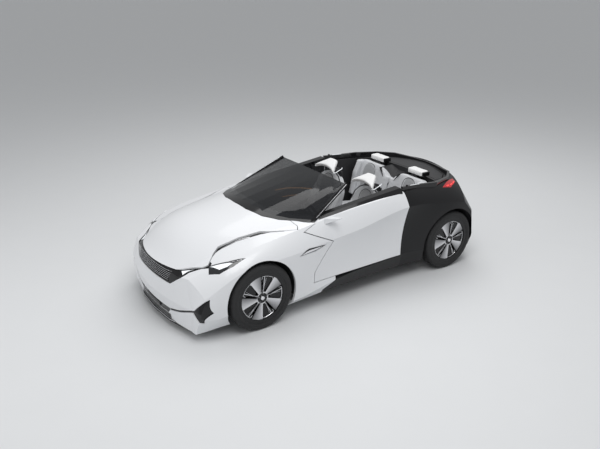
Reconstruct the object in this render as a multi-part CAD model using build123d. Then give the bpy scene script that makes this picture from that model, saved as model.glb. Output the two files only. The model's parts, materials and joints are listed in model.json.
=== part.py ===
from build123d import *
import math
import os
from collections import namedtuple

# Open two-door concept car. Millimetres, +X to the nose, +Y to the car's left, +Z up.
# The origin is on the floor under the middle of the car.

# Driving dimensions
WHEELBASE = 2458
FRONT_OVERHANG = 767
REAR_OVERHANG = 585
HALF_WIDTH = 876
TYRE_RADIUS = 335
TYRE_WIDTH = 178
TYRE_INSET = 14
RIM_RADIUS = 266
RIM_SEAT = 240
RIM_BARREL_WALL = 12
BLADE_COUNT = 5
BLADE_THICKNESS = 14
HUB_RADIUS = 62
HUB_BORE = 30
DISC_RADIUS = 122
ARCH_GAP = 45
WELL_DEPTH = 365
REAR_WELL_IN = 660
KINGPIN_Y = 740
SHUT_GAP = 8
SEAT_GAP = 0.3
PANEL = 26
FLOOR_UNDER = 150
FLOOR_THICKNESS = 40
DOOR_JAMB_SLANT = 18
DOOR_HINGE = (640, 880)
PILLAR_GAP = 7
PILLAR_SWEEP = (0, 2.5, 5, 7.5, 10, 12.5, 15, 17.5)
BOOT_HINGE_X = -1370
BOOT_HINGE_Z = 990
BOOT_PIN_RADIUS = 4
PIN_CLEARANCE = 0.05
GLASS_RUN = 0.08
SEAT_Y = 345
SEAT_WIDTH = 500
REAR_SEAT_Y = 330

LENGTH = FRONT_OVERHANG + WHEELBASE + REAR_OVERHANG
NOSE_X = LENGTH / 2
TAIL_X = -LENGTH / 2
FRONT_AXLE_X = NOSE_X - FRONT_OVERHANG
REAR_AXLE_X = TAIL_X + REAR_OVERHANG
MID_X = (FRONT_AXLE_X + REAR_AXLE_X) / 2
ANCHORS = {"front": FRONT_AXLE_X, "middle": MID_X, "rear": REAR_AXLE_X}
ARCH_RADIUS = TYRE_RADIUS + ARCH_GAP
WHEEL_Y = HALF_WIDTH - TYRE_INSET - TYRE_WIDTH / 2
CABIN_FLOOR = FLOOR_UNDER + FLOOR_THICKNESS

# Body sections: where they stand, then insets from the half width (y_) and heights (z_).
# bow_ is how far the side and the shoulder stand proud of a straight line.
Section = namedtuple(
    "Section",
    "anchor dx y_sill z_sill y_low z_low bow_side y_crease z_crease bow_shoulder"
    " y_shoulder z_shoulder y_hood z_hood z_top",
)
SECTIONS = [
    Section("front", 767, 190, 92, 150, 250, 8, 150, 430, 8, 330, 545, 450, 560, 610),
    Section("front", 562, 140, 95, 50, 260, 14, 62, 470, 14, 240, 632, 370, 655, 775),
    Section("front", 300, 110, 115, 15, 275, 10, 14, 625, 16, 160, 742, 300, 775, 915),
    Section("front", 0, 95, 120, 10, 285, 8, 3, 690, 16, 135, 815, 280, 843, 968),
    Section("front", -290, 95, 125, 28, 200, 4, 8, 692, 12, 128, 858, 262, 885, 1008),
    Section("front", -690, 95, 150, 42, 240, -14, 26, 722, 10, 125, 912, 185, 922, 1030),
    Section("middle", 40, 95, 165, 52, 300, -26, 34, 765, 8, 130, 962, 185, 972, 1040),
    Section("rear", 620, 95, 165, 55, 322, -24, 35, 862, 6, 130, 997, 185, 1008, 1050),
    Section("rear", 320, 85, 150, 30, 300, 10, 18, 845, 10, 178, 990, 240, 1000, 1030),
    Section("rear", 0, 90, 140, 6, 285, 12, 2, 795, 16, 200, 965, 260, 975, 1010),
    Section("rear", -300, 100, 150, 20, 300, 12, 24, 745, 16, 320, 955, 400, 965, 1000),
    Section("rear", -585, 150, 190, 110, 330, 10, 130, 690, 12, 520, 930, 600, 940, 960),
]

# Plan outline at some heights: insets from the nose and tail of the middle and of each
# corner, and each corner's half width. The body is what lies inside them.
Plan = namedtuple("Plan", "z nose corner_dx corner_y side_dx tail tail_dx tail_y rear_dx")
PLANS = [
    Plan(60, 45, 120, 640, 300, 60, 170, 700, 420),
    Plan(330, 0, 110, 690, 290, 30, 150, 740, 400),
    Plan(620, 22, 130, 560, 420, 0, 170, 740, 470),
    Plan(1100, 330, 560, 480, 900, 215, 330, 470, 760),
]

# The bonnet from above, left half, from the nose back round to the middle: (x, y).
BONNET_PLAN = [
    (1960, 0), (1960, 385), (1800, 385), (1745, 449), (1682, 512), (1615, 601), (1572, 622),
    (1484, 552), (1436, 531), (1412, 520), (1296, 532), (1205, 533), (982, 566), (766, 689),
    (668, 738), (640, 690), (656, 594), (746, 531), (861, 404), (931, 211), (946, 0),
]
BONNET_EDGE_Z = 628

# The long black air slot beside the bonnet, left side, outer edge back and inner edge forward.
VENT_PLAN = [
    (1535, 592), (1462, 562), (1426, 559), (1316, 567), (1234, 567), (1003, 603), (900, 634),
    (790, 694), (766, 680), (982, 556), (1205, 523), (1296, 522), (1436, 521), (1500, 555),
]

# The cowl band round the windscreen's foot, left half: outer edge back, inner edge forward.
COWL_PLAN = [(940, 0), (925, 210), (855, 402), (740, 527), (600, 632), (520, 706), (470, 742), (433, 752)]
CABIN_PLAN = [(742, 0), (742, 330), (700, 430), (610, 515), (500, 590), (433, 640)]

# The door and the skirt below it, from the side: (x, z).
DOOR_OUTLINE = [
    (425, 1200), (425, 917), (603, 856), (302, 717), (519, 421), (525, 318), (-626, 318),
    (-693, 865), (-700, 1200),
]
DOOR_IN = 655
SKIRT_OUTLINE = [(420, 60), (402, 190), (262, 276), (0, 300), (-640, 308), (-640, 60)]
TRIM_IN = 628

# The rail round the rear cockpit, from above, left half, and its heights from the side.
RIM_PLAN = [(-690, 702), (-911, 692), (-1189, 704), (-1463, 612), (-1628, 466), (-1694, 196), (-1718, 0)]
RIM_WIDTH = 28
RIM_SIDE = [(-690, 1046), (-950, 1028), (-1250, 1006), (-1500, 996), (-1800, 984), (-1800, 925), (-1250, 932), (-690, 950)]

# The gap between the rear seat backs, from the front, and the panel that falls forward in it.
SEAT_NOTCH = [(-45, 780), (45, 780), (195, 985), (195, 1100), (-195, 1100), (-195, 985)]
VALLEY_FRONT = [(-165, 965), (-45, 800), (45, 800), (165, 965)]
VALLEY_BACK = [(-175, 962), (-60, 925), (60, 925), (175, 962)]
VALLEY_X = (-1122, -1345)
VALLEY_THICKNESS = 8

LID_PLAN = [(-1376, 0), (-1376, 515), (-1470, 515), (-1590, 420), (-1655, 180), (-1672, 0)]
WELL_PLAN = [(-600, 640), (-1240, 640), (-1330, 560), (-1340, 0)]

# Openings in the nose from the front, left half or left side: (y, z).
GRILLE_FRONT = [(0, 490), (372, 486), (515, 593), (541, 634), (603, 672), (664, 688), (640, 716), (560, 800), (0, 800)]
LOWER_FRONT = [(0, 152), (300, 152), (345, 200), (345, 224), (0, 224)]
INTAKE_FRONT = [
    (346, 200), (511, 243), (712, 318), (796, 219), (846, 330), (828, 468), (732, 346), (511, 266), (346, 224),
]
LEAF_SIDE = [(727, 652), (640, 706), (605, 716), (470, 708), (386, 702), (519, 655)]
LEAF_DEPTH = 8
GRILLE_SLOTS = 6
GRILLE_PITCH = 18

# Lamps from above: (x, y).
LAMP_PLAN = [(1575, 640), (1426, 730), (1270, 792), (1403, 798), (1536, 771), (1612, 709)]
TAIL_LAMP_PLAN = [(-1270, 735), (-1400, 738), (-1550, 655), (-1545, 612), (-1463, 640), (-1400, 668)]
DIFFUSER_BACK = [(-620, 330), (-560, 130), (560, 130), (620, 330)]

# The windscreen's outer corners, left half: foot from above, top, and the inward way
# through the glass. Each foot stands on the body's surface.
Corner = namedtuple("Corner", "foot top inward")
GLASS_CORNERS = [
    Corner((862, 0), (-28, 0, 1172), (-0.17, 0.0, -0.985)),
    Corner((854, 170), (-29, 175, 1172), (-0.17, -0.06, -0.98)),
    Corner((817, 330), (-30, 350, 1171), (-0.19, -0.14, -0.96)),
    Corner((740, 460), (-30, 470, 1170), (-0.20, -0.35, -0.92)),
    Corner((645, 560), (-30, 560, 1169), (-0.15, -0.70, -0.83)),
    Corner((440, 700), (-30, 592, 1166), (-0.05, -0.89, -0.45)),
]
GLASS_THICKNESS = 6



STEPS = {}


def keep(name, shape):
    """Stores a finished piece under its node's name."""
    STEPS[name] = shape


def keep_pair(name, shape):
    """Stores a left-hand piece and its mirror image on the right."""
    keep(name + "_left", shape)
    keep(name + "_right", shape.mirror(Plane.XZ))


def block(x, y, z):
    """A box from its (low, high) limits on each axis."""
    size = [high - low for low, high in (x, y, z)]
    centre = [(high + low) / 2 for low, high in (x, y, z)]
    return Pos(*centre) * Box(*size)


def both(shape):
    """A left-hand shape and its mirror image, as one."""
    return shape + shape.mirror(Plane.XZ)


def prism(corners, way):
    """A closed flat outline carried along a vector."""
    return Solid.extrude(Face(Wire.make_polygon([Vector(*c) for c in corners], close=True)), Vector(*way))


def side_prism(points, y):
    """An (x, z) outline carried across from y[0] to y[1]."""
    return prism([(px, y[0], pz) for px, pz in points], (0, y[1] - y[0], 0))


def plan_prism(points, z):
    """An (x, y) outline carried up from z[0] to z[1]."""
    return prism([(px, py, z[0]) for px, py in points], (0, 0, z[1] - z[0]))


def front_prism(points, x):
    """A (y, z) outline carried along from x[0] to x[1]."""
    return prism([(x[0], py, pz) for py, pz in points], (x[1] - x[0], 0, 0))


def ruled_loft(outlines):
    """A solid with straight sides between closed outlines with equal corner counts."""
    return Solid.make_loft([Wire.make_polygon([Vector(*c) for c in o], close=True) for o in outlines], True)


def axle_cylinder(x, radius, y):
    """A cylinder on a wheel's axis, between two places across the car."""
    return Pos(x, (y[0] + y[1]) / 2, TYRE_RADIUS) * Rot(90, 0, 0) * Cylinder(radius, y[1] - y[0])


def bowed(a, b, bow):
    """The middle of an arc from a to b that stands proud of its chord by bow."""
    length = math.dist(a, b)
    out = ((b[1] - a[1]) / length, -(b[0] - a[0]) / length)
    return ((a[0] + b[0]) / 2 + out[0] * bow, (a[1] + b[1]) / 2 + out[1] * bow)


def section_wire(s, depth):
    """One closed body section, right round the car."""
    x = ANCHORS[s.anchor] + s.dx
    insets = (s.y_sill + depth, s.y_low + depth, s.y_crease + depth, s.y_shoulder + depth / 2, s.y_hood)
    heights = (s.z_sill + depth, s.z_low, s.z_crease, s.z_shoulder - depth, s.z_hood - depth)
    points = [(HALF_WIDTH - inset, z) for inset, z in zip(insets, heights)]
    bows = (0, s.bow_side, s.bow_shoulder, 0)
    edges = []
    for side in (1, -1):
        for a, b, bow in zip(points, points[1:], bows):
            ends = [Vector(x, side * y, z) for y, z in (a, b)]
            if bow:
                y, z = bowed(a, b, bow)
                edges.append(ThreePointArc(ends[0], Vector(x, side * y, z), ends[1]))
            else:
                edges.append(Line(*ends))
    (y_hood, z_hood), (y_sill, z_sill) = points[-1], points[0]
    crown = ThreePointArc((x, y_hood, z_hood), (x, 0, s.z_top - depth), (x, -y_hood, z_hood))
    under = Line((x, -y_sill, z_sill), (x, y_sill, z_sill))
    half = len(points) - 1
    return Wire(edges[:half] + [crown] + edges[half:][::-1] + [under])


def plan_wire(p, depth):
    """One closed plan outline, rounded at nose and tail."""
    nose, tail = NOSE_X - p.nose - depth, TAIL_X + p.tail + depth
    side = HALF_WIDTH + 60
    front_y, rear_y = p.corner_y - depth / 2, p.tail_y - depth / 2
    front_x, front_side = NOSE_X - p.corner_dx - depth, NOSE_X - p.side_dx - depth
    rear_x, rear_side = TAIL_X + p.tail_dx + depth, TAIL_X + p.rear_dx + depth
    mid_y = (front_y + side) / 2 + 30
    mid_x = (front_x + front_side) / 2 + 40
    back_y = (rear_y + side) / 2 + 30
    back_x = (rear_x + rear_side) / 2 - 40
    z = p.z
    return Wire(
        [
            ThreePointArc((front_x, -front_y, z), (nose, 0, z), (front_x, front_y, z)),
            ThreePointArc((front_x, front_y, z), (mid_x, mid_y, z), (front_side, side, z)),
            Line((front_side, side, z), (rear_side, side, z)),
            ThreePointArc((rear_side, side, z), (back_x, back_y, z), (rear_x, rear_y, z)),
            ThreePointArc((rear_x, rear_y, z), (tail, 0, z), (rear_x, -rear_y, z)),
            ThreePointArc((rear_x, -rear_y, z), (back_x, -back_y, z), (rear_side, -side, z)),
            Line((rear_side, -side, z), (front_side, -side, z)),
            ThreePointArc((front_side, -side, z), (mid_x, -mid_y, z), (front_x, -front_y, z)),
        ]
    )


def grown(points, amount):
    """A closed outline moved outward by an amount, corner by corner."""
    area = sum(a[0] * b[1] - b[0] * a[1] for a, b in zip(points, points[1:] + points[:1]))
    turn = 1 if area > 0 else -1
    result = []
    for i, here in enumerate(points):
        lines = []
        for a, b in ((points[i - 1], here), (here, points[(i + 1) % len(points)])):
            length = math.dist(a, b)
            normal = (turn * (b[1] - a[1]) / length, -turn * (b[0] - a[0]) / length)
            lines.append((normal, normal[0] * a[0] + normal[1] * a[1] + amount))
        (n, p), (m, q) = lines
        det = n[0] * m[1] - n[1] * m[0]
        if abs(det) < 1e-6:
            result.append((here[0] + n[0] * amount, here[1] + n[1] * amount))
        else:
            result.append(((p * m[1] - q * n[1]) / det, (n[0] * q - m[0] * p) / det))
    return result


def mirrored(points):
    """A left half-outline, front to back, closed by its mirror image."""
    return points + [(x, -y) for x, y in reversed(points) if y]


HULLS = {}


def mirrored_front(points):
    """A left half-outline from the front, closed by its mirror image."""
    return points + [(-y, z) for y, z in reversed(points) if y]


def hull(depth):
    """The body's outer form, moved inward everywhere by about a depth."""
    if depth not in HULLS:
        sections = [section_wire(s, depth) for s in SECTIONS]
        plans = [plan_wire(p, depth) for p in PLANS]
        HULLS[depth] = Solid.make_loft(sections, False) & Solid.make_loft(plans, True)
    return HULLS[depth]


def layer(outer, inner, zone):
    """The part of a zone between two depths below the outer form."""
    return (hull(outer) & zone) - hull(inner)


def largest(shape):
    """The largest solid of a shape."""
    return max(shape.solids(), key=lambda solid: solid.volume)


def surface_z(x, y):
    """The height of the body's top surface over a place."""
    hits = hull(0).find_intersection_points(Axis((x, y, 2000), (0, 0, -1)))
    return max(point.Z for point, _ in hits)


def foot_point(corner):
    """Where a windscreen corner stands on the body."""
    x, y = corner.foot
    return Vector(x, y, surface_z(x, y))


def glass_form(grow):
    """The windscreen, run on below its foot, thicker by grow on each face."""
    sections = []
    for c in GLASS_CORNERS:
        foot, top, inward = foot_point(c), Vector(*c.top), Vector(*c.inward)
        low = foot + (foot - top) * GLASS_RUN
        outer, inner = inward * -grow, inward * (GLASS_THICKNESS + grow)
        sections.append([low + outer, top + outer, top + inner, low + inner])
    aside = Vector(0, grow, 0)
    sections[-1] = [corner + aside for corner in sections[-1]]
    right = [[Vector(q.X, -q.Y, q.Z) for q in row] for row in sections[:0:-1]]
    return ruled_loft(right + sections)


def pillar(grow=0):
    """The left windscreen pillar: a blade along the glass's rear edge."""
    foot, top = foot_point(GLASS_CORNERS[-1]), Vector(*GLASS_CORNERS[-1].top)
    along = (top - foot).normalized()
    out = Vector(*GLASS_CORNERS[-1].inward).normalized() * -1
    across = out.cross(along)
    ends = []
    for place in (foot - along * (45 + grow), top + along * (6 + grow)):
        corners = [(20 + grow, 8 + grow), (-14 - grow, 8 + grow), (-14 - grow, -14 - grow), (20 + grow, -14 - grow)]
        ends.append([place + across * a + out * b for a, b in corners])
    return ruled_loft(ends)


def passing_pillar():
    """The left pillar and its gap as the opening door sees it pass, one shape for each turn."""
    there, back = Pos(*DOOR_HINGE), Pos(-DOOR_HINGE[0], -DOOR_HINGE[1])
    return [there * Rot(0, 0, turn) * back * pillar(PILLAR_GAP) for turn in PILLAR_SWEEP]


def door_space(grow):
    """The whole depth of the door opening, each edge moved outward by grow."""
    outline = grown(DOOR_OUTLINE, grow)
    slanted = [(x + DOOR_JAMB_SLANT * (x < -600), z) for x, z in outline]
    return ruled_loft([[(x, DOOR_IN, z) for x, z in slanted], [(x, 960, z) for x, z in outline]])


def cabin_space(grow):
    """The door space run inward, for cutting fixed panels round the whole door."""
    outline = grown(DOOR_OUTLINE, grow)
    slanted = [(x + 2 * DOOR_JAMB_SLANT * (x < -600), z) for x, z in outline]
    return ruled_loft([[(x, 470, z) for x, z in slanted], [(x, 960, z) for x, z in outline]])


def arches(grow=0):
    """The four wheel wells."""
    front = axle_cylinder(FRONT_AXLE_X, ARCH_RADIUS + grow, (HALF_WIDTH - WELL_DEPTH, 1000))
    rear = axle_cylinder(REAR_AXLE_X, ARCH_RADIUS + grow, (REAR_WELL_IN, 1000))
    return both(front) + both(rear)


def make_body():
    """Front clip, bonnet, cowl, doors, skirts and rear body."""
    skin = hull(0) - hull(PANEL)
    doors = both(cabin_space(SHUT_GAP))
    wells = arches()
    under = block((-1700, 1640), (-640, 640), (0, 240))
    bonnet_plan = mirrored(BONNET_PLAN)
    skirt_space = both(side_prism(grown(SKIRT_OUTLINE, SEAT_GAP), (600, 960)))
    lamp = both(plan_prism(grown(LAMP_PLAN, 1), (500, 900)))
    intake = both(front_prism(grown(INTAKE_FRONT, SEAT_GAP), (1600, 1950)))
    grille = front_prism(grown(mirrored_front(GRILLE_FRONT), SEAT_GAP), (1540, 1950))
    lower = front_prism(grown(mirrored_front(LOWER_FRONT), SEAT_GAP), (1650, 1950))
    vents = both(plan_prism(grown(VENT_PLAN, SEAT_GAP), (650, 1200)))
    leaves = both(side_prism(LEAF_SIDE, (700, 960))) - hull(LEAF_DEPTH)

    bonnet_space = plan_prism(grown(bonnet_plan, SHUT_GAP), (BONNET_EDGE_Z - SHUT_GAP, 1200))
    cowl_space = plan_prism(grown(mirrored(COWL_PLAN), SEAT_GAP), (700, 1200))
    cabin = block((0, 433 + SEAT_GAP), (-760, 760), (700, 1200))
    cuts = [bonnet_space, cowl_space, cabin, doors, skirt_space, wells, under, lamp, intake, grille, lower, vents, leaves]
    front = skin & block((262, 2000), (-960, 960), (0, 1200))
    keep("front_clip", largest(front.cut(*cuts)))

    bonnet = skin & plan_prism(bonnet_plan, (BONNET_EDGE_Z, 1200))
    keep("bonnet", largest(bonnet - doors))

    cowl = skin & (plan_prism(mirrored(COWL_PLAN), (700, 1200)) - plan_prism(mirrored(CABIN_PLAN), (600, 1300)))
    glass = glass_form(SEAT_GAP)
    frame = largest(cowl - doors) + (both(pillar()) - glass)
    keep("windscreen_frame", largest(frame))
    keep("windscreen_glass", largest(glass_form(0) - hull(-SEAT_GAP)))

    door = (hull(0) & door_space(0)) - wells
    keep_pair("door", largest(door.cut(*passing_pillar())))
    keep_pair("side_skirt", largest(hull(0) & side_prism(SKIRT_OUTLINE, (640, 960))))

    rim_line = mirrored([(-600, 716)] + grown_line(RIM_PLAN, RIM_WIDTH / 2 + SEAT_GAP))
    rim_space = plan_prism(rim_line, (800, 1200))
    lamps = both(plan_prism(grown(TAIL_LAMP_PLAN, 1), (800, 1100)))
    diffuser = front_prism(grown(DIFFUSER_BACK, SEAT_GAP), (-1950, -1650))
    rear = skin & block((-2000, -600), (-960, 960), (0, 1200))
    rear = rear.cut(doors, skirt_space, wells, under, rim_space, lamps, diffuser)
    keep("rear_body", largest(rear))


def grown_line(points, amount):
    """An open line of (x, y) points running back and inward, moved to its outer side."""
    result = []
    for i, here in enumerate(points):
        before, after = points[max(i - 1, 0)], points[min(i + 1, len(points) - 1)]
        if i == len(points) - 1:
            after = (here[0], -before[1])
            before = (before[0], before[1])
            result.append((here[0] - amount, 0))
            continue
        length = math.dist(before, after)
        result.append((here[0] + (after[1] - before[1]) / length * amount, here[1] - (after[0] - before[0]) / length * amount))
    return result


def make_inlays():
    """Lamps, grilles, intakes and vents: pieces let into holes in the skin."""
    bonnet_space = plan_prism(grown(mirrored(BONNET_PLAN), SHUT_GAP), (BONNET_EDGE_Z - SHUT_GAP, 1200))
    keep_pair("headlamp", largest(layer(2, PANEL, plan_prism(LAMP_PLAN, (500, 900)))))
    keep_pair("corner_intake", largest(layer(8, PANEL, front_prism(INTAKE_FRONT, (1600, 1950)))))
    keep_pair("bonnet_vent", largest(layer(12, PANEL, plan_prism(VENT_PLAN, (650, 1200))) - bonnet_space))
    lamp_space = both(plan_prism(grown(LAMP_PLAN, 1), (500, 900)))
    grille = layer(6, PANEL, front_prism(mirrored_front(GRILLE_FRONT), (1540, 1950))) - bonnet_space - lamp_space
    for level in range(GRILLE_SLOTS):
        z = 502 + level * GRILLE_PITCH
        grille -= block((1600, 1950), (-350, 350), (z, z + GRILLE_PITCH / 2)) - hull(16)
    keep("grille", largest(grille))
    keep("lower_grille", largest(layer(6, PANEL, front_prism(mirrored_front(LOWER_FRONT), (1650, 1950)))))
    keep_pair("tail_lamp", largest(layer(-4, PANEL, plan_prism(TAIL_LAMP_PLAN, (800, 1100))) - rim_form(SEAT_GAP)))
    keep("rear_diffuser", largest(layer(-8, PANEL, front_prism(DIFFUSER_BACK, (-1950, -1650)))))
    splitter = [(1600, 655), (1700, 655), (1790, 560), (1860, 320), (1882, 0)]
    keep("front_splitter", largest(plan_prism(mirrored(splitter), (68, 93)) - hull(-SEAT_GAP)))


def rim_form(grow):
    """The rail round the rear cockpit."""
    outer = mirrored(grown_line(RIM_PLAN, RIM_WIDTH / 2 + grow))
    inner = mirrored(grown_line(RIM_PLAN, -RIM_WIDTH / 2 - grow))
    inner = [(x + 40 * (x > -700), y) for x, y in inner]
    return (plan_prism(outer, (800, 1200)) - plan_prism(inner, (700, 1300))) & side_prism(grown(RIM_SIDE, grow), (-900, 900))


def make_rear_cockpit():
    """Rail, deck with its well walls, and the boot lid."""
    keep("deck_rim", largest(rim_form(0)))
    inner = mirrored(grown_line(RIM_PLAN, -RIM_WIDTH / 2 - SEAT_GAP))
    well = mirrored(WELL_PLAN)
    lid = mirrored(LID_PLAN)
    deck = layer(30, 44, plan_prism(inner, (700, 1200))) - plan_prism(grown(lid, SHUT_GAP), (600, 1300))
    wall = plan_prism(grown(well, 12), (340 + SEAT_GAP, 1200)) & hull(30) & block((-1500, -690), (-900, 900), (0, 1200))
    well_space = plan_prism(well, (100, 1300))
    pin = Pos(BOOT_HINGE_X, 310, BOOT_HINGE_Z) * Rot(90, 0, 0)
    ear = pin * Cylinder(2 * BOOT_PIN_RADIUS, 20)
    ear += block((BOOT_HINGE_X + 2, BOOT_HINGE_X + 16), (300, 320), (950, BOOT_HINGE_Z))
    bore = pin * Cylinder(BOOT_PIN_RADIUS + PIN_CLEARANCE, 60)
    ends = zip(VALLEY_X, (VALLEY_FRONT, VALLEY_BACK))
    lower = lambda edge: [(y, z - VALLEY_THICKNESS) for y, z in reversed(edge)]
    valley = ruled_loft([[(x, y, z) for y, z in edge + lower(edge)] for x, edge in ends])
    deck = ((deck + wall) - well_space) - rim_form(SEAT_GAP) + valley
    keep("rear_deck", largest(deck + both(ear) - both(bore)))
    lug = block((BOOT_HINGE_X - 18, BOOT_HINGE_X - 7), (326, 336), (950, BOOT_HINGE_Z + 4))
    lug += block((BOOT_HINGE_X - 18, BOOT_HINGE_X + 4), (326, 336), (BOOT_HINGE_Z - 4, BOOT_HINGE_Z + 4))
    lug += Pos(0, 3, 0) * pin * Cylinder(BOOT_PIN_RADIUS, 36)
    keep("boot_lid", largest(layer(30, 50, plan_prism(lid, (700, 1200))) + both(lug)))


def make_tub():
    """Floor, sills, firewall, boot floor and front rails as one piece."""
    inside = hull(PANEL + SEAT_GAP)
    tub = block((-1050, 760), (-639.7, 639.7), (FLOOR_UNDER, CABIN_FLOOR))
    tub += both(block((-640, 700), (600, 639.7), (FLOOR_UNDER, 330)))
    tub += block((-1090, -1050), (-600, 600), (FLOOR_UNDER, 340))
    tub += block((700, 740), (-639.7, 639.7), (300, 1100)) & inside
    tub += block((700, 740), (-639.7, 639.7), (FLOOR_UNDER, 300))
    tub += block((-1950, -1050), (-600, 600), (300, 340)) & inside
    tub += both(block((720, 1950), (380, 430), (300, 400)) & inside)
    keep("chassis_tub", largest(tub - arches()))
    keep("engine_block", block((950, 1480), (-300, 300), (280, 700)) + both(block((1000, 1400), (290, 379.7), (310, 390))))


def make_cabin():
    """Dashboard, column and hand wheel, console, seats and headrests."""
    dash = plan_prism(grown(mirrored(CABIN_PLAN), -SEAT_GAP), (560, 1200)) & block((470, 699.7), (-700, 700), (0, 1200)) & hull(14)
    keep("dashboard", largest(dash))
    hub = Pos(225, SEAT_Y, 800) * Rot(0, 115, 0)
    column = hub * Pos(0, 0, 170) * Cylinder(26, 280) - hub * Pos(0, 0, 70) * Cylinder(12.05, 90)
    keep("steering_column", largest(column - block((469.7, 900), (-900, 900), (0, 1200))))
    wheel = hub * Torus(175, 15) + hub * Cylinder(48, 26) + hub * Pos(0, 0, 45) * Cylinder(12, 90)
    for angle in (0, 90, 180):
        wheel += hub * Rot(0, 0, angle) * Pos(0, 100, 0) * Box(34, 140, 14)
    keep("steering_wheel", largest(wheel))
    keep("centre_console", block((-560, 440), (-72, 72), (CABIN_FLOOR + SEAT_GAP, 430)))
    low = CABIN_FLOOR + SEAT_GAP
    seat = [(150, low), (170, 400), (120, 440), (-380, 390), (-545, 900), (-590, 930), (-640, 920), (-640, 860), (-520, 380), (-480, low)]
    half = SEAT_WIDTH / 2
    keep_pair("seat", side_prism(seat, (SEAT_Y - half, SEAT_Y + half)))
    head = block((-590, -395), (SEAT_Y - 135, SEAT_Y + 135), (1000, 1078))
    head += both_at(block((-600, -570), (15, 40), (900, 1010)), SEAT_Y)
    keep_pair("headrest", largest(head - side_prism(grown(seat, SEAT_GAP), (0, 700))))
    bench = [(-735, low), (-735, 470), (-765, 495), (-1020, 450), (-1165, 965), (-1290, 975), (-1300, 900), (-1200, 500), (-1200, 340.3), (-1049.4, 340.3), (-1049.4, low)]
    rear = side_prism(bench, (-575, 575)) - front_prism(SEAT_NOTCH, (-1400, -1000))
    keep("rear_bench", largest(rear))
    head = block((-1330, -1215), (200, 460), (990, 1046))
    head += both_at(block((-1240, -1220), (30, 60), (960, 1000)), REAR_SEAT_Y)
    keep_pair("rear_headrest", largest(head - side_prism(grown(bench, SEAT_GAP), (0, 700))))


def both_at(shape, y):
    """A shape drawn about y=0 and its mirror image, moved across to y."""
    return Pos(0, y, 0) * both(shape)


def make_door_trim():
    """Inner panel and the dark cap along the door's top, and the camera fin."""
    panel = [(400, 330), (400, 900), (390, 930), (-600, 985), (-655, 985), (-600, 345)]
    trim = side_prism(panel, (TRIM_IN, DOOR_IN - SEAT_GAP))
    cap = ruled_loft([
        [(402, TRIM_IN, 900), (402, 724, 900), (402, 724, 928), (402, 690, 940), (402, TRIM_IN, 940)],
        [(-655, TRIM_IN, 950), (-655, 762, 950), (-655, 756, 1006), (-655, 716, 1044), (-655, TRIM_IN, 1044)],
    ])
    inner_cap = cap & block((-700, 420), (TRIM_IN, DOOR_IN - SEAT_GAP), (800, 1100))
    trim = trim + (cap - hull(-SEAT_GAP)) + inner_cap
    keep_pair("door_trim", largest(trim.cut(*passing_pillar())))
    fin = ruled_loft([
        [(290, 772, 880), (372, 772, 880), (372, 772, 940), (290, 772, 948)],
        [(228, 866, 940), (276, 866, 940), (276, 866, 948), (228, 866, 948)],
    ])
    keep_pair("camera_fin", largest(fin - hull(-SEAT_GAP)))


def make_wheels():
    """Rims and tyres on the left; the right is the mirror image."""
    half = TYRE_WIDTH / 2
    lip, barrel = RIM_RADIUS, RIM_SEAT
    seat = [(barrel - RIM_BARREL_WALL, -half + 5), (lip, -half + 5), (lip, -half + 12), (barrel, -half + 12),
            (barrel, half - 12), (lip, half - 12), (lip, half - 5), (barrel - RIM_BARREL_WALL, half - 5)]
    tyre = [(barrel + SEAT_GAP, -half + 12 + SEAT_GAP), (lip + SEAT_GAP, -half + 12 + SEAT_GAP),
            (lip + SEAT_GAP, -half + 2), (290, -half), (322, -half + 6), (TYRE_RADIUS, -half + 26)]
    tyre += [(r, -y) for r, y in reversed(tyre)]
    for axle, x in (("front", FRONT_AXLE_X), ("rear", REAR_AXLE_X)):
        place = Pos(x, WHEEL_Y, TYRE_RADIUS)
        spin = lambda points: revolve(make_face(Polyline(*[(r, y, 0) for r, y in points], close=True)), Axis.Y)
        rim = spin(seat)
        rim += spin([(HUB_BORE, 5), (HUB_RADIUS, 5), (HUB_RADIUS, 76), (0, 76), (0, 66), (HUB_BORE, 66)])
        rim += spin([(HUB_BORE + 5, 5), (DISC_RADIUS, 5), (DISC_RADIUS, 15), (HUB_BORE + 5, 15)])
        outline = [(46, -10), (235, -30), (206, 96), (46, 12)]
        for i in range(BLADE_COUNT):
            blade = extrude(make_face(Polyline(*[(r, 0, s) for r, s in outline], close=True)), BLADE_THICKNESS, dir=(0, 1, 0))
            spoke = extrude(make_face(Polyline((46, 0, -5), (232, 0, -5), (232, 0, 5), (46, 0, 5), close=True)), 10, dir=(0, 1, 0))
            rim += Rot(0, 72 * i + 10, 0) * Pos(0, 62, 0) * blade
            rim += Rot(0, 72 * i + 46, 0) * Pos(0, 62, 0) * spoke
        for side, turn in (("left", Rot(0, 0, 0)), ("right", Rot(0, 0, 180))):
            spot = Pos(x, WHEEL_Y if side == "left" else -WHEEL_Y, TYRE_RADIUS) * turn
            keep(f"rim_{axle}_{side}", largest(spot * rim))
            keep(f"tyre_{axle}_{side}", spot * spin(tyre))


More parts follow.
